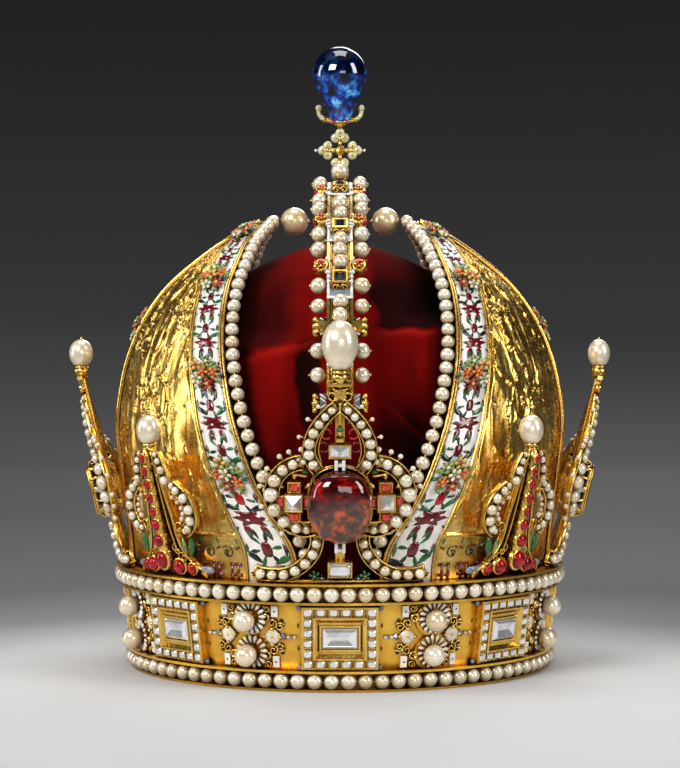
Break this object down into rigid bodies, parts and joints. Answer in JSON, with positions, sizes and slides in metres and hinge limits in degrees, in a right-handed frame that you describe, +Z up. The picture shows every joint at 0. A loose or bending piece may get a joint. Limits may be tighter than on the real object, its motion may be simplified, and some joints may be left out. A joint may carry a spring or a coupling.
{
  "type": "arched crown",
  "caption": "Arched gold crown with a jewelled circlet, lily finials, gilt mitre shells over a velvet cap, and a pearl-set hoop topped by a cross and a blue stone.",
  "frame": {"origin": "Middle of the circlet's foot, on the surface that the crown stands on.", "axes": "+Z up through the cross, -Y to the front lily, +X to the wearer's left."},
  "size_m": [0.2502, 0.252, 0.2835],
  "materials": {
    "gold": "polished yellow gold with brown in its recesses",
    "pearl": "cream nacre with a soft lustre",
    "clear_stone": "table-cut clear stone",
    "dark_stone": "table-cut dark stone",
    "red_stone": "polished red stone, orange in its depth",
    "blue_stone": "polished deep blue stone",
    "enamel": "white enamel with coloured flowers",
    "velvet": "crimson velvet, nearly black in its folds"
  },
  "bodies": {
    "root": {"circlet_band": "gold", "lower_pearls": "pearl", "lower_pearl_wire": "gold", "upper_pearls": "pearl", "upper_pearl_wire": "gold", "plaque_front": "gold", "plaque_front_right": "gold", "plaque_right": "gold", "plaque_back_right": "gold", "plaque_back": "gold", "plaque_back_left": "gold", "plaque_left": "gold", "plaque_front_left": "gold", "plaque_diamond_front": "clear_stone", "plaque_diamond_front_right": "clear_stone", "plaque_diamond_right": "clear_stone", "plaque_diamond_back_right": "clear_stone", "plaque_diamond_back": "clear_stone", "plaque_diamond_back_left": "clear_stone", "plaque_diamond_left": "clear_stone", "plaque_diamond_front_left": "clear_stone", "rosette_pearls": "pearl", "lily_front": "gold", "lily_front_right": "gold", "lily_right": "gold", "lily_back_right": "gold", "lily_back": "gold", "lily_back_left": "gold", "lily_left": "gold", "lily_front_left": "gold", "lily_pearl_front": "pearl", "lily_pearl_front_right": "pearl", "lily_pearl_right": "pearl", "lily_pearl_back_right": "pearl", "lily_pearl_back": "pearl", "lily_pearl_back_left": "pearl", "lily_pearl_left": "pearl", "lily_pearl_front_left": "pearl", "front_red_stone": "red_stone", "lily_diamond_right": "dark_stone", "lily_diamond_back": "dark_stone", "lily_diamond_left": "dark_stone", "mitre_right": "gold", "mitre_left": "gold", "enamel_front_right": "enamel", "enamel_side_right": "enamel", "enamel_back_right": "enamel", "enamel_front_left": "enamel", "enamel_side_left": "enamel", "enamel_back_left": "enamel", "mitre_pearls_right": "pearl", "mitre_pearls_left": "pearl", "mitre_tip_pearl_right": "pearl", "mitre_tip_pearl_left": "pearl", "arch_band": "gold", "arch_pearls": "pearl", "cross": "gold", "blue_stone": "blue_stone", "velvet_cap": "velvet"}
  },
  "joints": []
}
